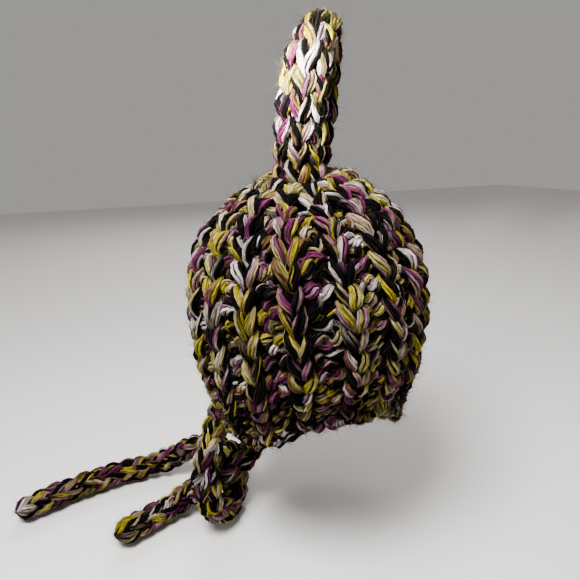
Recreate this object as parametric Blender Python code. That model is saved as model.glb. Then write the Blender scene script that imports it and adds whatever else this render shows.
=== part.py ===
"""Chunky ribbed beanie with a knitted loop standing on its crown and two knitted ties.

Lengths are in metres, with +Z up. The wearer looks along +Y, and the origin is where the top of
the head touches the inside of the crown. The left tie is looped round the right one in a loose
half knot beside the throat, and both free ends lie on one level below the hem.
"""
import math
from collections import namedtuple

import bmesh
import bpy
from mathutils import Vector

# Crown: the knitted wall that goes over the head
HALF_WIDTH = 0.0925      # middle to rib crest along X, where the crown is widest
HALF_DEPTH = 0.106       # the same along Y
WALL = 0.015             # thickness of the knitted wall at a rib crest
GATHERED_WALL = 0.020    # thickness over the head, where all the ribs are drawn together
NAPE_DROP = 0.146        # top of the head down to the hem at the nape and the brow
EAR_DROP = 0.027         # how much lower the hem hangs over the ears
HEM_ROUND = 0.004        # rounding of the hem's two edges

# Ribs of the crown, one for each column of knit stitches
RIB_COUNT = 18
RIB_DEPTH = 0.004        # rib crest to the bottom of the furrow beside it
RIB_TURN = math.radians(9.0)

# Loop on the crown: a flattened knitted cord that goes up, over and down again
LOOP_WIDTH = 0.039       # across the cord's flat side
LOOP_THICKNESS = 0.023
LOOP_HEIGHT = 0.111      # its seat on the gather up to its top
LOOP_SPREAD = 0.026      # its middle plane out to the middle of either leg, where it bows most
LOOP_LEAN = 0.013        # how far its top leans to one side
LOOP_TURN = math.radians(-25.0)

# Ties: round knitted cords that hang from the hem over each ear
TIE_DIAMETER = 0.026
EAR_TURN = math.radians(20.0)    # from the X axis forward to where a tie is joined to the hem
GAP = 0.0003             # clearance between pieces that touch

# How finely each surface is divided
FACETS_PER_RIB = 6
OUTER_RINGS = 17
INNER_RINGS = 11
LOOP_RINGS = 34
LOOP_SIDES = 12
TIE_POINTS = 38
CURVE_STEPS = 12

# Outline of the crown from its gather down to the hem: down is a share of the height from gather
# to hem at the nape, out is a share of the half width and of the half depth.
OutlineRow = namedtuple("OutlineRow", "down out")
OUTLINE = (
    OutlineRow(0.000, 0.320),
    OutlineRow(0.030, 0.405),
    OutlineRow(0.080, 0.545),
    OutlineRow(0.140, 0.690),
    OutlineRow(0.210, 0.790),
    OutlineRow(0.320, 0.885),
    OutlineRow(0.440, 0.965),
    OutlineRow(0.570, 1.000),
    OutlineRow(0.700, 0.985),
    OutlineRow(0.810, 0.970),
    OutlineRow(0.890, 0.905),
    OutlineRow(0.950, 0.866),
    OutlineRow(1.000, 0.860),
)
RIB_START = 0.32         # share out at which the ribs rise from the gather
RIB_FULL = 0.75          # share out from which they stand at full depth
GATHER_REACH = 0.25      # share of the way down over which the thicker wall thins out
HEAD_CONTACT = 0.20      # half width of the flat inner top, as a share of the crown's

# Hollows pressed into the wall: turn is the angle round the crown, down as in the outline, width
# and height are shares of the half width and the nape drop, and depth is a share of the wall.
DentRow = namedtuple("DentRow", "turn down width height depth")
DENTS = (
    DentRow(-96.0, 0.34, 0.20, 0.20, 0.32),
    DentRow(-122.0, 0.52, 0.16, 0.16, 0.24),
    DentRow(-86.0, 0.55, 0.14, 0.20, 0.22),
    DentRow(-58.0, 0.24, 0.16, 0.12, 0.20),
    DentRow(-150.0, 0.30, 0.16, 0.12, 0.20),
    DentRow(52.0, 0.36, 0.20, 0.18, 0.22),
    DentRow(118.0, 0.48, 0.18, 0.20, 0.20),
)

# Middle line of the loop from one seat to the other: spread and rise are shares of the loop's
# spread and of its height to the middle of the cord, and lean is a share of its lean.
LoopRow = namedtuple("LoopRow", "spread rise lean")
LOOP_LINE = (
    LoopRow(-0.56, 0.00, 0.00),
    LoopRow(-0.60, 0.12, 0.01),
    LoopRow(-0.80, 0.33, 0.10),
    LoopRow(-1.00, 0.57, 0.30),
    LoopRow(-0.94, 0.80, 0.60),
    LoopRow(-0.54, 0.95, 0.86),
    LoopRow(0.00, 1.00, 1.00),
    LoopRow(0.54, 0.95, 1.05),
    LoopRow(0.94, 0.79, 0.96),
    LoopRow(1.00, 0.57, 0.76),
    LoopRow(0.80, 0.33, 0.50),
    LoopRow(0.60, 0.12, 0.28),
    LoopRow(0.56, 0.00, 0.24),
)

# Routes of the ties below the hem, chosen by hand, and how far each free end closes in
TIE_ROUTES = {
    "tie_left": (
        (-0.071, 0.027, -0.186),
        (-0.080, 0.020, -0.200),
        (-0.087, 0.014, -0.217),
        (-0.090, 0.010, -0.236),
        (-0.088, 0.010, -0.254),
        (-0.079, 0.015, -0.271),
        (-0.068, 0.028, -0.279),
        (-0.057, 0.043, -0.276),
        (-0.052, 0.057, -0.264),
        (-0.056, 0.071, -0.251),
        (-0.066, 0.082, -0.247),
        (-0.081, 0.093, -0.251),
        (-0.097, 0.105, -0.263),
        (-0.115, 0.115, -0.274),
        (-0.138, 0.119, -0.279),
        (-0.177, 0.116, -0.279),
        (-0.216, 0.106, -0.279),
        (-0.254, 0.093, -0.279),
    ),
    "tie_right": (
        (0.073, 0.035, -0.184),
        (0.078, 0.049, -0.195),
        (0.073, 0.067, -0.205),
        (0.050, 0.082, -0.213),
        (0.020, 0.084, -0.221),
        (-0.008, 0.072, -0.228),
        (-0.030, 0.053, -0.233),
        (-0.047, 0.039, -0.239),
        (-0.064, 0.034, -0.247),
        (-0.081, 0.040, -0.257),
        (-0.098, 0.048, -0.271),
        (-0.121, 0.045, -0.279),
        (-0.145, 0.036, -0.279),
        (-0.168, 0.026, -0.279),
    ),
}
TIE_END_TAPER = (0.62, 0.86, 0.97)

# Average colour of each piece's yarns, which mix black, yellow, purple, white and tan strands
YARN_COLOURS = {
    "crown_body": (0.24, 0.20, 0.18, 1.0),
    "top_loop": (0.33, 0.27, 0.24, 1.0),
    "tie_left": (0.31, 0.26, 0.20, 1.0),
    "tie_right": (0.25, 0.20, 0.20, 1.0),
}
YARN_ROUGHNESS = 0.9

crown_height = GATHERED_WALL + NAPE_DROP
mean_half_width = (HALF_WIDTH + HALF_DEPTH) / 2


def clear_scene():
    """Remove every object of the scene."""
    for old in list(bpy.data.objects):
        bpy.data.objects.remove(old, do_unlink=True)


def smooth_curve(points, count):
    """Return count evenly spaced points of a smooth curve through the given points."""
    knots = [Vector(p) for p in points]
    knots = [2 * knots[0] - knots[1]] + knots + [2 * knots[-1] - knots[-2]]
    dense = []
    for before, start, end, after in zip(knots, knots[1:], knots[2:], knots[3:]):
        for step in range(CURVE_STEPS):
            dense.append(curve_point(before, start, end, after, step / CURVE_STEPS))
    dense.append(knots[-2])
    lengths = [0.0]
    for here, there in zip(dense, dense[1:]):
        lengths.append(lengths[-1] + (there - here).length)
    spaced = []
    at = 0
    for number in range(count):
        wanted = lengths[-1] * number / (count - 1)
        while at < len(dense) - 2 and lengths[at + 1] < wanted:
            at += 1
        part = (wanted - lengths[at]) / (lengths[at + 1] - lengths[at])
        spaced.append(dense[at].lerp(dense[at + 1], part))
    return spaced


def curve_point(before, start, end, after, part):
    """Return a point between start and end on the curve whose knots are spaced by root distance."""
    t0 = 0.0
    t1 = t0 + math.sqrt((start - before).length)
    t2 = t1 + math.sqrt((end - start).length)
    t3 = t2 + math.sqrt((after - end).length)
    t = t1 + (t2 - t1) * part
    a1 = before.lerp(start, (t - t0) / (t1 - t0))
    a2 = start.lerp(end, (t - t1) / (t2 - t1))
    a3 = end.lerp(after, (t - t2) / (t3 - t2))
    b1 = a1.lerp(a2, (t - t0) / (t2 - t0))
    b2 = a2.lerp(a3, (t - t1) / (t3 - t1))
    return b1.lerp(b2, (t - t1) / (t2 - t1))


def smooth_step(share):
    """Ease from 0 to 1 as share goes from 0 to 1."""
    share = min(max(share, 0.0), 1.0)
    return share * share * (3 - 2 * share)


def ear_share(turn):
    """Return 1 over the ears, where the hem is level, and 0 at the nape and the brow."""
    level_until = math.radians(33.0)
    return smooth_step(math.cos(turn) ** 2 / math.cos(level_until) ** 2)


def outline_places(count):
    """Return count places down the crown's outline, each as along, down, out and its normal."""
    line = [(row.out * mean_half_width, 0, -row.down * crown_height) for row in OUTLINE]
    points = smooth_curve(line, count)
    places = []
    for number, point in enumerate(points):
        run = points[min(number + 1, count - 1)] - points[max(number - 1, 0)]
        normal = Vector((-run.z, 0, run.x)).normalized()
        along = number / (count - 1)
        places.append((along, -point.z / crown_height, point.x / mean_half_width, normal))
    return places


def furrow_depth(turn, down, out):
    """Return how far the crown's outside lies behind the rib crests, by its furrows and dents."""
    furrow = (1 - math.cos(RIB_COUNT * (turn - RIB_TURN))) / 2
    depth = RIB_DEPTH * furrow * smooth_step((out - RIB_START) / (RIB_FULL - RIB_START))
    for dent in DENTS:
        angle = math.remainder(turn - math.radians(dent.turn), math.tau)
        across = angle * out * mean_half_width / (dent.width * HALF_WIDTH)
        up = (down - dent.down) * crown_height / (dent.height * NAPE_DROP)
        depth += dent.depth * WALL * (1 - smooth_step(math.hypot(across, up)))
    return depth


def wall_point(turn, down, out, normal, inset):
    """Return the point at one place of the crown, set in from the rib crests by inset."""
    across = inset * normal.x
    drop = down * crown_height + EAR_DROP * ear_share(turn) * down ** 2
    return Vector((
        (HALF_WIDTH * out - across) * math.cos(turn),
        (HALF_DEPTH * out - across) * math.sin(turn),
        GATHERED_WALL - drop - inset * normal.z,
    ))


def bridge_rings(mesh, rings):
    """Join each ring of vertices to the next with four-sided faces."""
    for upper, lower in zip(rings, rings[1:]):
        for number, corner in enumerate(upper):
            beside = (number + 1) % len(upper)
            mesh.faces.new((corner, upper[beside], lower[beside], lower[number]))


def finish_object(name, mesh):
    """Turn the faces of a bmesh outwards and put it in the scene as one smooth-shaded object."""
    bmesh.ops.recalc_face_normals(mesh, faces=mesh.faces)
    data = bpy.data.meshes.new(name)
    mesh.to_mesh(data)
    mesh.free()
    data.shade_smooth()
    data.set_sharp_from_angle(angle=math.radians(50.0))
    piece = bpy.data.objects.new(name, data)
    bpy.context.collection.objects.link(piece)
    piece.data.materials.append(yarn_material(name))
    return piece


def yarn_material(name):
    """Make the piece's own yarn material."""
    material = bpy.data.materials.new(name + "_yarn")
    material.use_nodes = True
    shader = material.node_tree.nodes["Principled BSDF"]
    shader.inputs["Base Color"].default_value = YARN_COLOURS[name]
    shader.inputs["Roughness"].default_value = YARN_ROUGHNESS
    shader.inputs["Metallic"].default_value = 0.0
    return material


def make_crown():
    """Knitted crown: an oval ribbed dome, gathered flat at its top and open at the hem."""
    mesh = bmesh.new()
    turns = [math.tau * n / (RIB_COUNT * FACETS_PER_RIB) for n in range(RIB_COUNT * FACETS_PER_RIB)]

    def ring(place, inset_at):
        along, down, out, normal = place
        return [mesh.verts.new(wall_point(turn, down, out, normal, inset_at(turn, place)))
                for turn in turns]

    def outside(turn, place):
        return furrow_depth(turn, place[1], place[2])

    def inside(turn, place):
        thicker = 1 - min(place[0] / GATHER_REACH, 1)
        return WALL + (GATHERED_WALL - WALL) * thicker

    outer = outline_places(OUTER_RINGS + 1)
    rings = [ring(place, outside) for place in outer[:-1]]
    hem = outer[-1]
    above_hem = (hem[0], hem[1] - HEM_ROUND / crown_height, hem[2], hem[3])
    rings.append(ring(above_hem, outside))
    rings.append(ring(hem, lambda turn, place: outside(turn, place) + HEM_ROUND))
    rings.append(ring(hem, lambda turn, place: WALL - HEM_ROUND))
    rings.append(ring(above_hem, inside))
    inner = outline_places(INNER_RINGS + 1)
    rings.extend(ring(place, inside) for place in reversed(inner[1:-1]))
    contact = [mesh.verts.new((HALF_WIDTH * HEAD_CONTACT * math.cos(turn),
                               HALF_DEPTH * HEAD_CONTACT * math.sin(turn), 0)) for turn in turns]
    rings.append(contact)
    bridge_rings(mesh, rings)
    mesh.faces.new(rings[0])
    mesh.faces.new(contact)
    return finish_object("crown_body", mesh)


def make_loop():
    """Loop: a flattened knitted cord bent over on itself, both ends standing on the gather."""
    middle_height = LOOP_HEIGHT - LOOP_THICKNESS / 2 - GAP
    seat = GATHERED_WALL + GAP
    line = [(row.lean * LOOP_LEAN, row.spread * LOOP_SPREAD, seat + row.rise * middle_height)
            for row in LOOP_LINE]
    points = smooth_curve(line, LOOP_RINGS + 1)
    mesh = bmesh.new()
    rings = []
    for number, point in enumerate(points):
        run = points[min(number + 1, LOOP_RINGS)] - points[max(number - 1, 0)]
        if number in (0, LOOP_RINGS):
            run = Vector((0, 0, run.z))
        wide = (Vector((1, 0, 0)) - run * (run.x / run.length_squared)).normalized()
        thin = run.normalized().cross(wide)
        rings.append([])
        for side in range(LOOP_SIDES):
            angle = math.tau * side / LOOP_SIDES
            offset = wide * LOOP_WIDTH / 2 * math.cos(angle) + thin * LOOP_THICKNESS / 2 * math.sin(angle)
            corner = point + offset
            turned = Vector((
                corner.x * math.cos(LOOP_TURN) - corner.y * math.sin(LOOP_TURN),
                corner.x * math.sin(LOOP_TURN) + corner.y * math.cos(LOOP_TURN),
                corner.z,
            ))
            rings[-1].append(mesh.verts.new(turned))
    bridge_rings(mesh, rings)
    mesh.faces.new(rings[0])
    mesh.faces.new(rings[-1])
    return finish_object("top_loop", mesh)


def make_tie(name, ear_turn):
    """Tie: a limp round cord that starts under the hem over an ear and follows its route."""
    hem_out = OUTLINE[-1].out
    start = wall_point(ear_turn, OUTLINE[-1].down, hem_out, Vector((1, 0, 0)), WALL / 2)
    start.z -= GAP
    below = start - Vector((0, 0, TIE_DIAMETER / 4))
    points = smooth_curve([start, below] + [Vector(p) for p in TIE_ROUTES[name]], TIE_POINTS)
    points[1].x = start.x
    points[1].y = start.y
    curve = bpy.data.curves.new(name, "CURVE")
    curve.dimensions = "3D"
    curve.bevel_depth = TIE_DIAMETER / 2
    curve.bevel_resolution = 4
    curve.use_fill_caps = True
    spline = curve.splines.new("POLY")
    spline.points.add(len(points) - 1)
    for spot, point in zip(spline.points, points):
        spot.co = (*point, 1)
        spot.radius = 1
    for number, share in enumerate(TIE_END_TAPER):
        spline.points[-1 - number].radius = share
    curve.materials.append(yarn_material(name))
    piece = bpy.data.objects.new(name, curve)
    bpy.context.collection.objects.link(piece)
    return piece


clear_scene()
make_crown()
make_loop()
make_tie("tie_left", math.pi - EAR_TURN)
make_tie("tie_right", EAR_TURN)
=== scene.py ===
import math

import bpy
import numpy as np
from mathutils import Matrix, Vector


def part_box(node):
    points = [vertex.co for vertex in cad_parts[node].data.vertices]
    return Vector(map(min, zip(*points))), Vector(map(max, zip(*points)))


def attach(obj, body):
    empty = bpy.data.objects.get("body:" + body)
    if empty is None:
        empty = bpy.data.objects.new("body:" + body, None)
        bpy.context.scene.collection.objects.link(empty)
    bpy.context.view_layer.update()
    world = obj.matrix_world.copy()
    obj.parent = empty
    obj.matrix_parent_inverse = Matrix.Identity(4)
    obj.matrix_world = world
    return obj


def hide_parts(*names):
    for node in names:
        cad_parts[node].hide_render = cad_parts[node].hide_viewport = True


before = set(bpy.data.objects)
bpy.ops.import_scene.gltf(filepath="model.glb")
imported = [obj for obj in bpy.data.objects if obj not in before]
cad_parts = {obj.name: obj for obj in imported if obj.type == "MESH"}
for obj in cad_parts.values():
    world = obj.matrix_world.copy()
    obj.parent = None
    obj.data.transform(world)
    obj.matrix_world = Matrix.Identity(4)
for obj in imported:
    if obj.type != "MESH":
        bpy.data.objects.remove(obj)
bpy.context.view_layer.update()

for leftover in ("Cube", "Light", "Camera"):
    if leftover in bpy.data.objects:
        bpy.data.objects.remove(bpy.data.objects[leftover], do_unlink=True)

# Crown of the hat: one thick wall of ribbed knitting, worked in the round from the hem up to the
# gather. Every course is one bundle of eight strands that is looped through the course below it,
# in front of it for one knit stitch and behind it for the two purl ones of the furrow beside it.
STRANDS = 8
PLIES = 2                    # strands side by side that are dyed alike; the first ones are black
STRAND_RADIUS = 0.00125
BUNDLE_ACROSS = 0.0029       # middle of a bundle to the middles of its strands, along the wall
BUNDLE_THROUGH = 0.0023      # the same through the wall
STRAND_SIDES = 5
TWIST = 0.6                  # turns of a bundle for each column

RIBS = 18
RIB_TURN = math.radians(5.7)
RIB_LEAN = math.radians(-12.0)         # how far the ribs turn on their way up to the gather
RIB_LEAN_START = 0.09        # so that they stay where they are at seven tenths of the way down
RIB_SHIFTS = (0.5, -1.0, 1.2, -0.6, -1.4, 0.8, 1.5, -0.9, 0.6,
              -0.5, -1.7, -2.7, -2.2, 1.8, 2.3, 1.0, -0.4, -0.8)     # degrees, from RIB_TURN on
WALL = 0.015
GATHERED_WALL = 0.020
NAPE_DROP = 0.146
EAR_DROP = 0.027
EAR_LEVEL_TURN = math.radians(33.0)
HALF_WIDTH = 0.0925

half_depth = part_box("crown_body")[1][1]
mean_half_width = (HALF_WIDTH + half_depth) / 2
crown_height = GATHERED_WALL + NAPE_DROP

# Outline from the middle of the gather down to the hem: down is a share of the crown's height,
# out is a share of its half width
OUTLINE = (
    (0.030, 0.05),
    (0.012, 0.14),
    (-0.010, 0.23),
    (-0.022, 0.32),
    (0.006, 0.430),
    (0.060, 0.580),
    (0.120, 0.720),
    (0.200, 0.832),
    (0.310, 0.928),
    (0.440, 1.000),
    (0.570, 1.015),
    (0.700, 0.995),
    (0.810, 0.965),
    (0.890, 0.905),
    (0.950, 0.866),
    (1.000, 0.860),
)

# Hollows pressed into the wall: turn in degrees, down, width and height as shares of the half
# width and the nape drop, depth as a share of the wall
DENTS = (
    (-112.0, 0.01, 0.46, 0.20, 0.50),
    (162.0, 0.06, 0.60, 0.26, 0.62),
    (-96.0, 0.34, 0.20, 0.20, 0.32),
    (-122.0, 0.52, 0.16, 0.16, 0.24),
    (-86.0, 0.55, 0.14, 0.20, 0.22),
    (-58.0, 0.24, 0.16, 0.12, 0.20),
    (-150.0, 0.30, 0.16, 0.12, 0.20),
    (52.0, 0.36, 0.20, 0.18, 0.22),
    (118.0, 0.48, 0.18, 0.20, 0.20),
)

# Places where the ribbing has spread flat: turn in degrees, down, width and height as above
SLACK = (
    (-152.0, 0.26, 0.50, 0.30),
    (-77.0, 0.28, 0.30, 0.28),
    (20.0, 0.40, 0.34, 0.30),
    (95.0, 0.24, 0.40, 0.26),
)
SLACK_RISE = 0.16            # how far a furrow comes up there, as a share of the wall
SLACK_SPREAD = 0.62          # how much wider a column of knit stitches gets there

# Courses from the hem up to the middle of the gather: height against the others, columns of knit
# stitches, the share of a column and its furrow that the knit stitch takes, how plump the bundle
# is, and how deep the furrows are. Higher up the furrows are narrowed away, and then two columns
# are knitted together.
COURSES = (
    (0.52, 18, 0.40, 0.80, 0.0),
    (0.56, 18, 0.40, 0.82, 0.1),
    (0.60, 18, 0.40, 0.86, 0.3),
    (0.68, 18, 0.39, 0.92, 0.6),
    (0.78, 18, 0.38, 0.96, 0.9),
    (0.90, 18, 0.38, 1.00, 1.0),
    (1.00, 18, 0.38, 1.00, 1.0),
    (1.04, 18, 0.38, 1.00, 1.0),
    (1.06, 18, 0.38, 1.02, 1.0),
    (1.06, 18, 0.40, 1.04, 1.0),
    (1.06, 18, 0.42, 1.06, 0.9),
    (1.04, 18, 0.46, 1.08, 0.8),
    (1.02, 18, 0.54, 1.12, 0.6),
    (1.06, 18, 1.00, 1.28, 0.0),
    (1.06, 18, 1.00, 1.28, 0.0),
    (1.00, 9, 1.00, 1.28, 0.0),
    (1.00, 9, 1.00, 1.20, 0.0),
)


def curve_through(points, count, steps=16):
    """Return count evenly spaced places on a smooth curve through the points."""
    knots = np.array(points, float)
    knots = np.vstack((2 * knots[0] - knots[1], knots, 2 * knots[-1] - knots[-2]))
    dense = []
    share = np.linspace(0, 1, steps, endpoint=False)[:, None]
    for p0, p1, p2, p3 in zip(knots, knots[1:], knots[2:], knots[3:]):
        t1 = math.sqrt(np.linalg.norm(p1 - p0))
        t2 = t1 + math.sqrt(np.linalg.norm(p2 - p1))
        t3 = t2 + math.sqrt(np.linalg.norm(p3 - p2))
        t = t1 + (t2 - t1) * share
        a1 = p0 + (p1 - p0) * t / t1
        a2 = p1 + (p2 - p1) * (t - t1) / (t2 - t1)
        a3 = p2 + (p3 - p2) * (t - t2) / (t3 - t2)
        b1 = a1 + (a2 - a1) * t / t2
        b2 = a2 + (a3 - a2) * (t - t1) / (t3 - t1)
        dense.append(b1 + (b2 - b1) * (t - t1) / (t2 - t1))
    dense = np.vstack(dense + [knots[-2]])
    lengths = lengths_along(dense)
    wanted = np.linspace(0, lengths[-1], count)
    return np.stack([np.interp(wanted, lengths, dense[:, axis]) for axis in range(3)], axis=1)


def lengths_along(points):
    """Return how far along the polyline each of its points lies."""
    return np.concatenate(([0.0], np.cumsum(np.linalg.norm(np.diff(points, axis=0), axis=1))))


def unit(vectors):
    """Return the vectors with their lengths set to one."""
    return vectors / np.maximum(np.linalg.norm(vectors, axis=-1, keepdims=True), 1e-9)


def ease(share):
    """Ease from 0 to 1 as the share goes from 0 to 1."""
    share = np.clip(share, 0.0, 1.0)
    return share * share * (3 - 2 * share)


OUTLINE_STEPS = 600
outline = curve_through(
    [(out * mean_half_width, 0, -down * crown_height) for down, out in OUTLINE], OUTLINE_STEPS)
outline_up = lengths_along(outline)[-1] - lengths_along(outline)
outline_run = np.gradient(outline, axis=0)
outline_normal = unit(np.stack((-outline_run[:, 2], outline_run[:, 1], outline_run[:, 0]), axis=1))
crown_climb = outline_up[0]


def along_outline(up, values):
    """Read the outline's values at the heights up from the hem, measured along the wall."""
    return np.interp(up, outline_up[::-1], values[::-1])


def crown_place(turn, up, inset):
    """Return places in the crown's wall, inset from the crests of its ribs."""
    rib = (turn - RIB_TURN) / math.tau * RIBS
    turn = turn + np.radians(np.interp(rib % RIBS, range(RIBS + 1), RIB_SHIFTS + RIB_SHIFTS[:1]))
    past_hem = np.minimum(up, 0.0)
    down = along_outline(up, -outline[:, 2]) / crown_height
    out = along_outline(up, outline[:, 0]) / mean_half_width
    normal_out = along_outline(up, outline_normal[:, 0])
    normal_up = along_outline(up, outline_normal[:, 2])
    turn = turn + RIB_LEAN * ((1 - down) ** 2 - RIB_LEAN_START)

    def patch(patch_turn, patch_down, width, height):
        angle = (turn - math.radians(patch_turn) + math.pi) % math.tau - math.pi
        across = angle * out * mean_half_width / (width * HALF_WIDTH)
        above = (down - patch_down) * crown_height / (height * NAPE_DROP)
        return 1 - ease(np.hypot(across, above))

    for *spot, depth in DENTS:
        inset = inset + depth * WALL * patch(*spot)
    furrow = (1 - np.cos(rib * math.tau)) / 2
    for spot in SLACK:
        slack = patch(*spot)
        inset = inset - SLACK_RISE * WALL * furrow * slack
        turn = turn + SLACK_SPREAD / RIBS * np.sin(rib * math.tau) * slack
    ear = ease((np.cos(turn) / math.cos(EAR_LEVEL_TURN)) ** 2)
    drop = down * crown_height + EAR_DROP * ear * np.maximum(down, 0) ** 2
    return np.stack((
        (HALF_WIDTH * out - inset * normal_out) * np.cos(turn),
        (half_depth * out - inset * normal_out) * np.sin(turn),
        GATHERED_WALL - drop - inset * normal_up + past_hem,
    ), axis=-1)


# Stitches, by how deep in the wall the middle of the bundle lies and how full it is: where one
# stitch meets the next, on the legs, and at the top. The purl ones are given for a shallow
# furrow and for a deep one.
KNIT = ((0.64, 0.22, 0.76), (0.50, 1.00, 0.50))
SHALLOW_PURL = ((0.56, 0.42, 0.32), (0.66, 0.90, 1.05))
DEEP_PURL = ((0.80, 0.68, 0.54), (0.70, 0.95, 1.15))
KNIT_STEPS = 15
PURL_STEPS = 9
STEP_CROWDING = 0.14         # how much closer the steps are on the legs, which show
PURL_RISE = 0.12             # how far a purl bump arches up, and how far it leans up to the right
PURL_LEAN = 0.12
LOOP_REACH = 0.80            # half the height of a stitch's loop, as a share of its course
LOOP_SWELL = 0.30            # how far a leg leans from foot to top, as a share of its stitch


def stitch_row(widths, stitches, steps):
    """Return, all round one course of stitches, where the bundle goes: along the course, up the
    loop from -1 to 1, its depth as a share of the wall, and how full it is from 0 to 1."""
    along, climb, depth, full = [], [], [], []
    start = 0.0
    for width, (depths, fills), count in zip(widths, stitches, steps):
        phase = math.tau * np.arange(count) / count
        if depths[2] < depths[1]:
            bump = (1 - np.cos(phase)) / 2
            along.append(start + width * phase / math.tau)
            climb.append(PURL_RISE * bump - PURL_LEAN * np.sin(phase) - 1)
            depth.append(depths[0] + (depths[2] - depths[0]) * bump)
            full.append(fills[0] + (fills[2] - fills[0]) * bump)
        else:
            phase = phase + STEP_CROWDING * np.sin(2 * phase)
            ends = np.where(np.cos(phase) < 0, 2, 0)
            near_end = np.cos(phase) ** 2
            along.append(start + width * (phase / math.tau + LOOP_SWELL * np.sin(2 * phase)))
            climb.append(-np.cos(phase))
            depth.append(depths[1] + (np.array(depths)[ends] - depths[1]) * near_end)
            full.append(fills[1] * (1 - near_end) ** 2 + np.array(fills)[ends] * near_end ** 3)
        start += width
    return [np.concatenate(part) for part in (along, climb, depth, full)]


# How unevenly the yarn lies: what drifts along a course, and by how much
SWAY = 0.09                  # along the course, as a share of a stitch
LIFT = 0.13                  # up and down, as a share of half a loop
SINK = 0.045                 # in and out, as a share of the wall
PLUMPNESS = 0.12             # of the bundle's size
ROLL = 0.5                   # of the bundle's turn, in radians
STRAY = 0.22                 # of one strand's turn in its bundle, in radians
LOOSENESS = 0.12             # of one strand's distance from the bundle's middle
LEAST_SPREAD = 0.45          # how far apart the strands stay where the bundle is thinnest
LEAST_RADIUS = 0.66          # how thick a strand stays there
SKIN = 0.0005                # how far in and out the wall is felt for its outward way
OUTWARD_PULL = 0.001         # keeps a strand's outward way steady in the middle of its bundle


def wander(random, knots, count, size):
    """Return count values that drift smoothly and come back to where they began."""
    values = random.normal(0, size, knots)
    place = np.arange(count) * knots / count
    before = place.astype(int) % knots
    share = (1 - np.cos(math.pi * (place % 1))) / 2
    return values[before] * (1 - share) + values[(before + 1) % knots] * share


# Colours that each strand of the yarn is dyed in, one after another, with how often each comes
BLACK = (0.0045, 0.0032, 0.0034)
DYES = (
    (BLACK, 0.19),
    ((0.64, 0.54, 0.075), 0.17),       # yellow
    ((0.62, 0.54, 0.20), 0.12),        # pale yellow
    ((0.28, 0.056, 0.17), 0.16),       # purple
    ((0.44, 0.24, 0.29), 0.08),        # pale mauve
    ((0.82, 0.72, 0.70), 0.13),        # white with a little pink
    ((0.52, 0.42, 0.26), 0.12),        # cream
    ((0.24, 0.14, 0.065), 0.06),       # tan
)
DYE_LENGTH = (0.015, 0.050)
DYE_BLEND = 0.60             # share of each stretch in which it runs into its neighbours
DYE_REACH = 2.5              # longer than any course's strand
DYE_SPARE = 4                # stretches more than the length can need
DYE_SHIFT = 0.006            # how far the strands of one ply slide against each other
DYE_STRENGTH = (0.6, 1.15)   # how pale or strong a whole strand comes out
DYE_PATCH = (0.80, 1.15)     # and each stretch of it


def dye_bath(random, length):
    """Return the stops along a strand, and their colours, of stretches that run into each other."""
    shares = np.array([share for colour, share in DYES])
    ends = np.cumsum(random.uniform(*DYE_LENGTH, int(length / DYE_LENGTH[0]) + DYE_SPARE))
    picks = random.choice(len(DYES), len(ends), p=shares / shares.sum())
    colours = np.array([DYES[pick][0] for pick in picks])
    colours *= random.uniform(*DYE_PATCH, (len(ends), 1))
    starts = np.concatenate(([0.0], ends[:-1]))
    blend = (ends - starts) * DYE_BLEND / 2
    return np.stack((starts + blend, ends - blend), axis=1).ravel(), np.repeat(colours, 2, axis=0)


def dyed(lengths, bath):
    """Return the colour for each of the lengths along a strand."""
    stops, colours = bath
    return np.stack([np.interp(lengths, stops, colours[:, axis]) for axis in range(3)], axis=1)


def spin_course(random, place, row, up, reach, size, wall, stitches, twists):
    """Return the strands of one course, each as its middle line, radii, outward ways and dye."""
    along, climb, depth, full = row
    count = len(along)
    sway = wander(random, 2 * stitches, count, SWAY * math.tau / stitches)
    lift = wander(random, 2 * stitches, count, LIFT)
    plump = 1 + wander(random, 2 * stitches, count, PLUMPNESS)
    sink = wander(random, 2 * stitches, count, SINK)
    across = along + sway
    height = up + reach * (climb + lift)
    inset = (depth + sink) * wall
    middle = place(across, height, inset)
    outward = unit(place(across, height, inset - SKIN) - place(across, height, inset + SKIN))
    run = unit(np.roll(middle, -1, axis=0) - np.roll(middle, 1, axis=0))
    side = unit(np.cross(run, outward))
    face = np.cross(side, run)
    spread = (LEAST_SPREAD + (1 - LEAST_SPREAD) * full) * plump * size
    turning = twists * math.tau * np.arange(count) / count + random.uniform(0, math.tau)
    turning = turning + wander(random, stitches, count, ROLL)
    strands = []
    for number in range(STRANDS):
        if number % PLIES == 0:
            bath = dye_bath(random, DYE_REACH)
        if number < PLIES:
            bath = ((0.0, DYE_REACH), np.array((BLACK, BLACK)))
        angle = turning + math.tau * number / STRANDS + wander(random, 2 * stitches, count, STRAY)
        loose = 1 + wander(random, 2 * stitches, count, LOOSENESS)
        offset = side * (BUNDLE_ACROSS * spread * loose * np.cos(angle))[:, None]
        offset += face * (BUNDLE_THROUGH * spread * loose * np.sin(angle))[:, None]
        line = middle + offset
        radius = STRAND_RADIUS * (LEAST_RADIUS + (1 - LEAST_RADIUS) * full) * size
        lengths = lengths_along(np.vstack((line, line[:1])))
        dye = dyed(lengths[:-1] + random.uniform(0, DYE_SHIFT), bath)
        dye = dye * random.uniform(*DYE_STRENGTH)
        outward = unit(offset + OUTWARD_PULL * face)
        strands.append((line, radius, outward, lengths, dye))
    return strands


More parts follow.
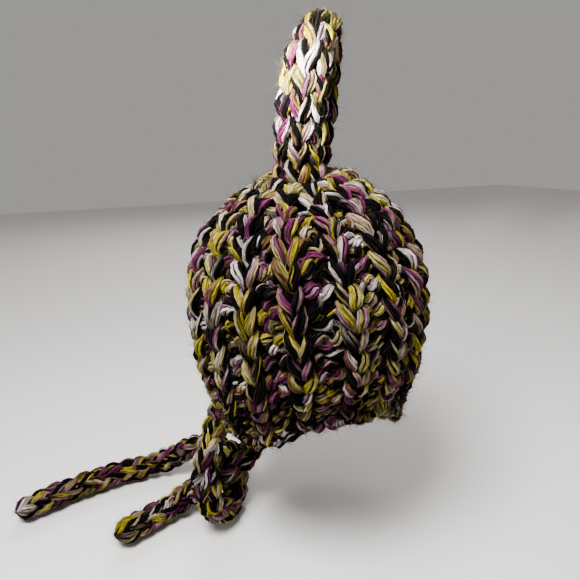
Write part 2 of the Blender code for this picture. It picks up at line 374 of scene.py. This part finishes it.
# Loose fibres that stand off the yarn
FIBRE_LENGTH = (0.0025, 0.0100)
FIBRE_WIDTH = 0.00022
FIBRE_ROOT = 0.8             # where it starts, as a share of the strand's radius
FIBRE_DRIFT = 0.9            # how far it turns away from straight out
FIBRE_BEND = 0.5             # how far the tip bends over, as a share of the length
FIBRE_SHARES = (0.0, 0.5, 1.0)
FIBRE_TRIANGLES = ((0, 1, 2), (2, 1, 3), (2, 3, 4))
FIBRE_SHADE = 0.40           # how much of its strand's dye it shows
LOWEST_FIBRE = -0.2918       # where the ties lie on the floor
CROWN_FIBRES = 64000
LOOP_FIBRES = 6000
TIE_FIBRES = 5000
CM = 100                     # the maps along the strands count in centimetres


def mesh_object(name, corners, faces, uvs, dyes):
    """Make one mesh object with a map along its strands, and a dye for each of its corners."""
    sides = faces.shape[1]
    mesh = bpy.data.meshes.new(name)
    mesh.vertices.add(len(corners))
    mesh.vertices.foreach_set("co", corners.ravel())
    mesh.loops.add(faces.size)
    mesh.loops.foreach_set("vertex_index", faces.ravel())
    mesh.polygons.add(len(faces))
    mesh.polygons.foreach_set("loop_start", np.arange(0, faces.size, sides, dtype=np.int32))
    mesh.update(calc_edges=True)
    mesh.uv_layers.new(name="strand").data.foreach_set("uv", uvs.ravel())
    tints = np.ones((len(corners), 4))
    tints[:, :3] = dyes
    mesh.color_attributes.new("dye", "FLOAT_COLOR", "POINT").data.foreach_set(
        "color", tints.ravel())
    mesh.shade_smooth()
    piece = bpy.data.objects.new(name, mesh)
    bpy.context.scene.collection.objects.link(piece)
    return piece


def strand_object(name, strands):
    """Make one mesh object of closed strands, each a tube round its middle line."""
    corners, uvs, dyes, faces = [], [], [], []
    first = 0
    ring = np.arange(STRAND_SIDES)
    for line, radius, outward, lengths, dye in strands:
        count = len(line)
        run = unit(np.roll(line, -1, axis=0) - np.roll(line, 1, axis=0))
        side = unit(np.cross(run, outward))
        face = np.cross(side, run)
        angle = (math.tau * ring / STRAND_SIDES)[None, :, None]
        corner = line[:, None] + radius[:, None, None] * (
            side[:, None] * np.cos(angle) + face[:, None] * np.sin(angle))
        corners.append(corner.reshape(-1, 3))
        dyes.append(np.repeat(dye, STRAND_SIDES, axis=0))
        here = np.arange(count)[:, None] * STRAND_SIDES
        there = (np.arange(count)[:, None] + 1) % count * STRAND_SIDES
        beside = (ring + 1) % STRAND_SIDES
        quads = np.stack((here + ring, here + beside, there + beside, there + ring), axis=-1)
        faces.append(first + quads.reshape(-1, 4))
        u_low = np.broadcast_to(ring / STRAND_SIDES, (count, STRAND_SIDES))
        u_high = u_low + 1 / STRAND_SIDES
        v_low = np.broadcast_to(lengths[:-1, None], u_low.shape)
        v_high = np.broadcast_to(lengths[1:, None], u_low.shape)
        us = np.stack((u_low, u_high, u_high, u_low), axis=-1)
        vs = np.stack((v_low, v_low, v_high, v_high), axis=-1)
        uvs.append(np.stack((us, vs * CM), axis=-1).reshape(-1, 2))
        first += count * STRAND_SIDES
    return mesh_object(name, np.vstack(corners), np.vstack(faces).astype(np.int32),
                       np.vstack(uvs), np.vstack(dyes))


def fuzz_object(name, random, strands, count):
    """Make one mesh of fine loose fibres that stand off the strands, each a thin tapered blade."""
    picks = random.integers(0, len(strands), count)
    roots, ways, dyes = np.empty((count, 3)), np.empty((count, 3)), np.empty((count, 3))
    for number, pick in enumerate(picks):
        line, radius, outward, _, dye = strands[pick]
        spot = random.integers(0, len(line))
        roots[number] = line[spot] + outward[spot] * radius[spot] * FIBRE_ROOT
        ways[number] = outward[spot]
        dyes[number] = dye[spot]
    drift = random.normal(0, 1, (count, 3))
    ways = unit(unit(ways) + FIBRE_DRIFT * drift)
    bend = unit(np.cross(ways, random.normal(0, 1, (count, 3))))
    flat = unit(np.cross(ways, bend))
    length = random.uniform(*FIBRE_LENGTH, (count, 1))
    rows = []
    for share in FIBRE_SHARES:
        spot = roots + ways * length * share + bend * length * FIBRE_BEND * share ** 2
        width = flat * FIBRE_WIDTH / 2 * (1 - share)
        rows += [spot - width, spot + width]
    corners = np.stack(rows[:-1], axis=1)
    corners[:, :, 2] = np.maximum(corners[:, :, 2], LOWEST_FIBRE)
    per_fibre = corners.shape[1]
    corners = corners.reshape(-1, 3)
    first = np.arange(count)[:, None] * per_fibre
    triangles = [first + np.array(three) for three in FIBRE_TRIANGLES]
    faces = np.concatenate(triangles, axis=1).reshape(-1, 3).astype(np.int32)
    return mesh_object(name, corners, faces, corners[faces.ravel(), :2] * CM,
                       np.repeat(dyes * FIBRE_SHADE, per_fibre, axis=0))


def dress(piece, yarn, node):
    """Give the piece its yarn, and let it stand for the node on the body that carries it."""
    piece.data.materials.append(yarn)
    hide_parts(node)
    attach(piece, "root")


class Socket:
    """A shader node's output that takes part in arithmetic."""

    def __init__(self, tree, link):
        self.tree = tree
        self.link = link

    def node(self, kind, settings, *values, **named):
        """Add a node with its settings, link or set its sockets, and return its output."""
        node = self.tree.nodes.new(kind)
        for key, value in settings.items():
            setattr(node, key, value)
        sockets = [socket for socket in node.inputs if socket.enabled]
        wanted = list(zip(sockets, values))
        wanted += [(socket, named[socket.name]) for socket in sockets if socket.name in named]
        for socket, value in wanted:
            if isinstance(value, Socket):
                self.tree.links.new(value.link, socket)
            else:
                socket.default_value = value
        return Socket(self.tree, next(socket for socket in node.outputs if socket.enabled))

    def math(self, operation, *values):
        return self.node("ShaderNodeMath", {"operation": operation}, *values)

    def at_least(self, low):
        return self.math("MAXIMUM", self, low)

    def __add__(self, other):
        return self.math("ADD", self, other)

    def __radd__(self, other):
        return self.math("ADD", other, self)

    def __sub__(self, other):
        return self.math("SUBTRACT", self, other)

    def __rsub__(self, other):
        return self.math("SUBTRACT", other, self)

    def __mul__(self, other):
        return self.math("MULTIPLY", self, other)

    def __rmul__(self, other):
        return self.math("MULTIPLY", other, self)


# A strand close up: grooves between its plies and fine fibres that wind round it, as bumps and
# as painted shade and highlight in its dye (darker where the relief lies low, lighter where it
# stands up), and paler patches
PLY_TWIST = 0.12             # turns of the fibres round a strand for each centimetre
PLY_LINES = 4
PLY_RELIEF = 0.25
FIBRE_SPACING = 0.9          # noise cells along a strand against those round it
FIBRE_CELLS = 2.2
FIBRE_RELIEF = 3.2
# painted shade and highlight: how strongly the relief darkens or lightens the dye
SHADE_GAIN = 0.90
SHADE_MIDDLE = 0.60
DARKEST_SHADE = 0.06
PALE_POWERS = (0.55, 0.60, 0.62)       # a dye to these powers is its paler self
PALE_CELLS = 0.9
PALE_FROM = 0.52
PALE_GAIN = 3.2
BUMP_HEIGHT = 0.0010


def yarn_material(name):
    """Soft strand of wool and acrylic: fine fibres that wind round it, and its own dye, with
    painted shade in its grooves and painted highlight on its ridges.
    """
    material = bpy.data.materials.new(name)
    material.use_nodes = True
    tree = material.node_tree
    shader = tree.nodes["Principled BSDF"]
    nodes = Socket(tree, None)
    dye = nodes.node("ShaderNodeVertexColor", {"layer_name": "dye"})
    strand = nodes.node("ShaderNodeUVMap", {"uv_map": "strand"})
    around = nodes.node("ShaderNodeSeparateXYZ", {}, strand)
    along = Socket(tree, around.link.node.outputs["Y"])
    twisted = (around + along * PLY_TWIST) * math.tau
    ply = nodes.math("ABSOLUTE", nodes.math("SINE", twisted * PLY_LINES))
    fibre_place = nodes.node(
        "ShaderNodeCombineXYZ", {}, nodes.math("COSINE", twisted), nodes.math("SINE", twisted),
        along * FIBRE_SPACING)
    fibre = nodes.node(
        "ShaderNodeTexNoise", {}, Vector=fibre_place, Scale=FIBRE_CELLS, Detail=3.0)
    patchy = nodes.node(
        "ShaderNodeTexNoise", {}, Vector=fibre_place, Scale=PALE_CELLS, Detail=1.0)
    relief = ply * PLY_RELIEF + (fibre - 0.5) * FIBRE_RELIEF
    # painted shade and highlight: the dye is darker where the relief lies low and lighter where it
    # stands up
    shade = (relief * SHADE_GAIN + SHADE_MIDDLE).at_least(DARKEST_SHADE)
    shaded_dye = nodes.node("ShaderNodeVectorMath", {"operation": "SCALE"}, Vector=dye, Scale=shade)
    pale = nodes.node("ShaderNodeVectorMath", {"operation": "POWER"}, dye, PALE_POWERS)
    paleness = ((patchy - PALE_FROM) * PALE_GAIN).at_least(0.0)
    colour = nodes.node("ShaderNodeMix", {"data_type": "RGBA"}, Factor=paleness, A=shaded_dye, B=pale)
    tree.links.new(colour.link, shader.inputs["Base Color"])
    bump = nodes.node("ShaderNodeBump", {}, Strength=1.0, Distance=BUMP_HEIGHT, Height=relief)
    tree.links.new(bump.link, shader.inputs["Normal"])
    shader.inputs["Roughness"].default_value = 0.82
    shader.inputs["Specular IOR Level"].default_value = 0.14
    shader.inputs["Sheen Weight"].default_value = 0.03
    shader.inputs["Sheen Roughness"].default_value = 0.5
    return material


# The feet of the purl stitches: a second row of bumps, half a course up, one in each furrow
FOOT_BUMP = ((0.80, 0.70, 0.56), (0.60, 0.90, 1.05))
FOOT_BEHIND = ((0.80, 0.99, 0.95), (0.60, 0.60, 0.60))
FOOT_STEPS = (8, 6)
FOOT_SHALLOW = 0.2           # how far a bump comes out where there is no furrow
FOOT_BANDS = (("crown_feet_low", 0, 7), ("crown_feet_high", 7, 13))

# The edge that the first course is cast on to
EDGE_STITCHES = 54
EDGE_STEPS = 8
EDGE_STITCH = ((0.42, 0.34, 0.52), (0.60, 1.00, 0.60))
EDGE_UP = 0.0042
EDGE_REACH = 0.0016

crown_yarn = yarn_material("crown_yarn")
random = np.random.default_rng(18)
heights = np.array([course[0] for course in COURSES])
heights *= crown_climb / (heights.sum() + (LOOP_REACH - 0.5) * heights[0])
course_up = np.cumsum(heights) - heights / 2 + (LOOP_REACH - 0.5) * heights[0] + STRAND_RADIUS
BANDS = (
    ("crown_knit_hem", 0, 3),
    ("crown_knit_low", 3, 6),
    ("crown_knit_middle", 6, 9),
    ("crown_knit_high", 9, 12),
    ("crown_knit_gather", 12, 17),
)
all_strands = []
for band, start, stop in BANDS:
    strands = []
    for course, up, rise in list(zip(COURSES, course_up, heights))[start:stop]:
        columns, share, size, furrow = course[1:]
        column = math.tau / columns
        widths, kinds, steps = (column,), (KNIT,), (KNIT_STEPS,)
        if share < 1:
            widths = (column * share,) + (column * (1 - share) / 2,) * 2
            purl = [[shallow + (deep - shallow) * furrow for shallow, deep in zip(*pair)]
                    for pair in zip(SHALLOW_PURL, DEEP_PURL)]
            kinds = (KNIT, purl, purl)
            steps = (KNIT_STEPS, PURL_STEPS, PURL_STEPS)
        row = stitch_row(widths * columns, kinds * columns, steps * columns)
        row[0] += RIB_TURN - column * share / 2 + (column - math.tau / RIBS) / 2
        stitches = len(widths) * columns
        strands += spin_course(random, crown_place, row, up, LOOP_REACH * rise, size, WALL,
                               stitches, round(TWIST * columns))
    if start == 0:
        row = stitch_row(
            (math.tau / EDGE_STITCHES,) * EDGE_STITCHES, (EDGE_STITCH,) * EDGE_STITCHES,
            (EDGE_STEPS,) * EDGE_STITCHES)
        strands += spin_course(random, crown_place, row, EDGE_UP, EDGE_REACH, 1.0, WALL,
                               EDGE_STITCHES, EDGE_STITCHES // 2)
    all_strands += strands
    dress(strand_object(band, strands), crown_yarn, "crown_body")
for band, start, stop in FOOT_BANDS:
    strands = []
    for course, up, rise in list(zip(COURSES, course_up, heights))[start:stop]:
        columns, share, size, furrow = course[1:]
        column = math.tau / columns
        widths = (column * (1 - share) / 2, column * (1 + share) / 2)
        shallow = (1 - furrow) * FOOT_SHALLOW
        bump = ([depth - shallow for depth in FOOT_BUMP[0]], FOOT_BUMP[1])
        row = stitch_row(widths * columns, (bump, FOOT_BEHIND) * columns, FOOT_STEPS * columns)
        row[0] += RIB_TURN + column / 2 - widths[0] / 2
        strands += spin_course(random, crown_place, row, up + rise / 2, LOOP_REACH * rise, size,
                               WALL, 2 * columns, round(TWIST * columns))
    all_strands += strands
    dress(strand_object(band, strands), crown_yarn, "crown_body")
dress(fuzz_object("crown_fuzz", random, all_strands, CROWN_FIBRES),
      crown_yarn, "crown_body")

# Inside of the crown: the yarn that is carried along behind the stitches and closes the furrows,
# darkened with painted shade
FLOATS = 6                   # strands in each course, one above the other
FLOAT_RADIUS = 0.0019
FLOAT_DEPTH = 0.96           # share of the wall
FLOAT_STEPS = 90
FLOAT_KNOTS = 36             # how often a float can drift, and how far up and in it drifts
FLOAT_LIFT = 0.0006
FLOAT_SINK = 0.0004
FLOAT_PAINTED_SHADE = (0.1, 0.5)     # painted shade: their dye is darkened, as they lie deep in the wall out of the light
random = np.random.default_rng(5)
strands = []
float_turns = math.tau * np.arange(FLOAT_STEPS) / FLOAT_STEPS
for up, rise in zip(course_up, heights):
    for number in range(FLOATS):
        height = up + rise * ((number + 0.5) / FLOATS - 0.5)
        height = height + wander(random, FLOAT_KNOTS, FLOAT_STEPS, FLOAT_LIFT)
        inset = FLOAT_DEPTH * WALL + wander(random, FLOAT_KNOTS, FLOAT_STEPS, FLOAT_SINK)
        line = crown_place(float_turns, np.maximum(height, FLOAT_RADIUS), inset)
        outward = unit(line - crown_place(float_turns, height, inset + 2 * SKIN))
        lengths = lengths_along(np.vstack((line, line[:1])))
        # painted shade on the floats' dye
        dye = dyed(lengths[:-1], dye_bath(random, DYE_REACH)) * random.uniform(*FLOAT_PAINTED_SHADE)
        strands.append((line, np.full(FLOAT_STEPS, FLOAT_RADIUS), outward, lengths, dye))
dress(strand_object("crown_floats", strands), crown_yarn, "crown_body")

# Top loop: a flat knitted cord, six stitches round, that stands up from the gather, bends over
# and comes down behind itself. Both its ends are sewn to the crown.
LOOP_WIDTH = 0.039
LOOP_THICKNESS = 0.023
LOOP_HEIGHT = 0.111
LOOP_SPREAD = 0.026
LOOP_LEAN = 0.013
LOOP_TURN = math.radians(-25.0)
LOOP_VIVIDNESS = 1.35        # its yarn is dyed stronger in colour than the crown's, and brightened with painted light, as it stands nearest the light
LOOP_PAINTED_LIGHT = 1.25
PALEST = 0.86
LOOP_LEAN_IN = 0.012         # how far the top leans over for each share that it is narrower
LOOP_STITCHES = 6
LOOP_COURSE = 0.0150
LOOP_PLUMPNESS = 1.10
SEAT_GAP = 0.0003

# Middle line from one seat to the other: spread and lean as shares of the loop's own, and rise
# as a share of its height to the middle of the cord
LOOP_LINE = (
    (-0.56, -0.10, 0.00),
    (-0.60, 0.12, 0.01),
    (-0.80, 0.33, 0.10),
    (-1.00, 0.57, 0.30),
    (-0.94, 0.80, 0.60),
    (-0.54, 0.95, 0.86),
    (0.00, 1.00, 1.00),
    (0.54, 0.95, 1.05),
    (0.94, 0.79, 0.96),
    (1.00, 0.57, 0.76),
    (0.80, 0.33, 0.50),
    (0.60, 0.12, 0.28),
    (0.56, -0.10, 0.22),
)
# How wide the loop is along its line, as shares of its length and width
LOOP_WIDTHS = (
    (0.0, 1.10),
    (0.15, 1.02),
    (0.30, 0.97),
    (0.42, 0.84),
    (0.50, 0.76),
    (0.58, 0.84),
    (0.70, 0.97),
    (0.85, 1.02),
    (1.0, 1.10),
)
LINE_STEPS = 400
CORD_STEPS = 15
CORD_WALL = 0.0115           # what the stitch's depths are shares of
CORD_TWIST = 0.8             # turns of a bundle for each stitch
CORD_CORE = (0.0006, 0.0004)           # how near to the middle line its stitches may come
CORD_ENDS = (0.1, 0.3)       # how far its first and last loops reach past it, in courses
CORD_STITCH = ((0.78, 0.36, 0.84), (0.50, 1.00, 0.50))


def cord_place(line, wide_half, thin_half, wide_way, end_round):
    """Return a function that gives places in a knitted cord, by turn, length along and inset."""
    lengths = lengths_along(line)
    run = unit(np.gradient(line, axis=0))
    wide = unit(wide_way - run * np.sum(wide_way * run, axis=1, keepdims=True))
    thin = np.cross(run, wide)
    left = np.clip(lengths / end_round, 0, 1) if end_round else np.ones(len(line))
    closing = np.sqrt(1 - (1 - left) ** 2)

    def place(turn, up, inset):
        def read(values):
            return np.stack([np.interp(up, lengths, values[:, axis]) for axis in range(3)], axis=-1)
        full = np.interp(up, lengths, closing)
        wide_here = np.interp(up, lengths, np.broadcast_to(wide_half, lengths.shape))
        wide_out = np.maximum(wide_here * full - inset, CORD_CORE[0]) * np.cos(turn)
        thin_out = np.maximum(thin_half * full - inset, CORD_CORE[1]) * np.sin(turn)
        return read(line) + read(wide) * wide_out[..., None] + read(thin) * thin_out[..., None]

    return place, lengths[-1]


def knit_cord(random, place, length, stitches, course_height, size, first_turn):
    """Return the strands of a knitted cord, course by course from its start."""
    row = stitch_row((math.tau / stitches,) * stitches, (CORD_STITCH,) * stitches,
                     (CORD_STEPS,) * stitches)
    courses = round((length - course_height * LOOP_REACH) / course_height)
    rise = length / (courses + LOOP_REACH - sum(CORD_ENDS))
    strands = []
    for course in range(courses):
        turned = [row[0] + first_turn] + row[1:]
        up = rise * (course + LOOP_REACH - CORD_ENDS[0])
        strands += spin_course(random, place, turned, up, LOOP_REACH * rise, size, CORD_WALL,
                               stitches, round(CORD_TWIST * stitches))
    return strands


random = np.random.default_rng(7)
middle_height = LOOP_HEIGHT - LOOP_THICKNESS / 2 - SEAT_GAP
loop_line = curve_through([
    (lean * LOOP_LEAN, spread * LOOP_SPREAD, GATHERED_WALL + SEAT_GAP + rise * middle_height)
    for spread, rise, lean in LOOP_LINE], LINE_STEPS)
turn_loop = np.array(Matrix.Rotation(LOOP_TURN, 3, "Z"))
loop_line = loop_line @ turn_loop.T
wide_way = np.tile(turn_loop @ (1, 0, 0), (LINE_STEPS, 1))
widths = np.interp(np.linspace(0, 1, LINE_STEPS), *zip(*LOOP_WIDTHS))
loop_line = loop_line + LOOP_LEAN_IN * (1 - widths)[:, None] * wide_way
place, length = cord_place(loop_line, widths * LOOP_WIDTH / 2, LOOP_THICKNESS / 2, wide_way, 0)
strands = knit_cord(random, place, length, LOOP_STITCHES, LOOP_COURSE, LOOP_PLUMPNESS, 0.0)
# stronger colour, and painted light that brightens the loop's dye
strands = [(*strand[:4], np.minimum(strand[4] ** LOOP_VIVIDNESS * LOOP_PAINTED_LIGHT, PALEST))
           for strand in strands]
loop_yarn = yarn_material("loop_yarn")
dress(strand_object("loop_knit", strands), loop_yarn, "top_loop")
dress(fuzz_object("loop_fuzz", random, strands, LOOP_FIBRES), loop_yarn, "top_loop")

# Ties: two limp knitted cords, four stitches round, that hang from the hem over the ears. The
# left one turns up round the right one in a loose half knot, and both run out on the floor.
TIE_DIAMETER = 0.026
TIE_STITCHES = 4
TIE_COURSE = 0.0135
TIE_TURN = 0.3               # radians, so that a column of stitches faces up
TIE_UP = (0.0, 0.3, 1.0)     # leans a little, because the ties hang straight down at first
TIE_ROUTES = {
    "tie_left": (
        (-0.0677, 0.0286, -0.1733),
        (-0.0677, 0.0286, -0.1798),
        (-0.071, 0.027, -0.186),
        (-0.080, 0.020, -0.200),
        (-0.087, 0.014, -0.217),
        (-0.090, 0.010, -0.236),
        (-0.088, 0.010, -0.254),
        (-0.079, 0.015, -0.271),
        (-0.068, 0.028, -0.279),
        (-0.057, 0.043, -0.276),
        (-0.052, 0.057, -0.264),
        (-0.056, 0.071, -0.251),
        (-0.066, 0.082, -0.247),
        (-0.081, 0.093, -0.251),
        (-0.097, 0.105, -0.263),
        (-0.115, 0.115, -0.274),
        (-0.138, 0.119, -0.279),
        (-0.177, 0.116, -0.279),
        (-0.216, 0.106, -0.279),
        (-0.254, 0.093, -0.279),
    ),
    "tie_right": (
        (0.0677, 0.0286, -0.1733),
        (0.0677, 0.0286, -0.1798),
        (0.073, 0.035, -0.184),
        (0.078, 0.049, -0.195),
        (0.073, 0.067, -0.205),
        (0.050, 0.082, -0.213),
        (0.020, 0.084, -0.221),
        (-0.008, 0.072, -0.228),
        (-0.030, 0.053, -0.233),
        (-0.047, 0.039, -0.239),
        (-0.064, 0.034, -0.247),
        (-0.081, 0.040, -0.257),
        (-0.098, 0.048, -0.271),
        (-0.121, 0.045, -0.279),
        (-0.145, 0.036, -0.279),
        (-0.168, 0.026, -0.279),
    ),
}
tie_yarn = yarn_material("tie_yarn")
for seed, (tie, route) in enumerate(TIE_ROUTES.items()):
    random = np.random.default_rng(40 + seed)
    line = curve_through(route[::-1], LINE_STEPS)
    upwards = np.tile(TIE_UP, (LINE_STEPS, 1))
    place, length = cord_place(line, TIE_DIAMETER / 2, TIE_DIAMETER / 2, upwards, TIE_DIAMETER / 2)
    strands = knit_cord(random, place, length, TIE_STITCHES, TIE_COURSE, 1.0, TIE_TURN)
    piece = strand_object(tie + "_knit", strands)
    dress(piece, tie_yarn, tie)
    dress(fuzz_object(tie + "_fuzz", random, strands, TIE_FIBRES), tie_yarn, tie)

# Floor: the plain pale surface that the ties run out on
FLOOR_LEVEL = -0.2925
bpy.ops.object.select_all(action="DESELECT")
bpy.ops.mesh.primitive_plane_add(size=6.0, location=(0, 0, FLOOR_LEVEL))
floor = bpy.context.object
floor.name = "floor"
floor_paint = bpy.data.materials.new("floor_paint")
floor_paint.use_nodes = True
floor_shader = floor_paint.node_tree.nodes["Principled BSDF"]
floor_shader.inputs["Base Color"].default_value = (0.81, 0.80, 0.79, 1)
floor_shader.inputs["Roughness"].default_value = 0.7
floor.data.materials.append(floor_paint)

# Studio light: a large soft light above on the left, a weaker one on the right, one behind, a
# narrow one on the loop, and pale air. Each has its place, where it points, size, power and the
# spread of its beam in degrees.
MIDDLE = (0, 0, 0)
STUDIO_LIGHTS = (
    ("key_light", (-0.30, -0.27, 0.52), MIDDLE, 0.30, 8.2, 180),
    ("fill_light", (1.4, -0.9, 0.7), MIDDLE, 1.2, 5.0, 180),
    ("back_light", (0.3, 1.5, 1.2), MIDDLE, 1.0, 9.0, 180),
    ("loop_light", (-0.42, -0.34, 0.15), (0.0, 0.0, 0.085), 0.05, 0.20, 15),
)
for name, spot, aim, size, power, spread in STUDIO_LIGHTS:
    light = bpy.data.lights.new(name, "AREA")
    light.size = size
    light.energy = power
    light.spread = math.radians(spread)
    lamp = bpy.data.objects.new(name, light)
    lamp.location = spot
    lamp.rotation_euler = (Vector(aim) - lamp.location).to_track_quat("-Z", "Y").to_euler()
    bpy.context.scene.collection.objects.link(lamp)
world = bpy.data.worlds.new("studio_air")
world.use_nodes = True
world.node_tree.nodes["Background"].inputs["Color"].default_value = (0.83, 0.81, 0.785, 1)
world.node_tree.nodes["Background"].inputs["Strength"].default_value = 0.36
bpy.context.scene.world = world
bpy.context.scene.view_settings.look = "AgX - High Contrast"

# Camera: behind the hat on its left, a little above the hem and looking slightly down
VIEW_TURN = math.radians(-20.0)
VIEW_PITCH = math.radians(16.0)
VIEW_ROLL = math.radians(1.48)
VIEW_DISTANCE = 0.381
VIEW_SIDE = -0.011
VIEW_HEIGHT = 0.038
FOCAL_PIXELS = 490.0
FRAME_PIXELS = 580.0
SENSOR = 36.0
camera = bpy.data.cameras.new("camera")
camera.sensor_width = SENSOR
camera.lens = FOCAL_PIXELS / FRAME_PIXELS * SENSOR
camera.clip_start = 0.01
viewer = bpy.data.objects.new("camera", camera)
turned = Matrix.Rotation(VIEW_TURN, 4, "Z")
stand = turned @ Matrix.Translation((VIEW_SIDE, -VIEW_DISTANCE, VIEW_HEIGHT))
tilt = Matrix.Rotation(math.radians(90) - VIEW_PITCH, 4, "X")
viewer.matrix_world = stand @ tilt @ Matrix.Rotation(-VIEW_ROLL, 4, "Z")
bpy.context.scene.collection.objects.link(viewer)
bpy.context.scene.camera = viewer
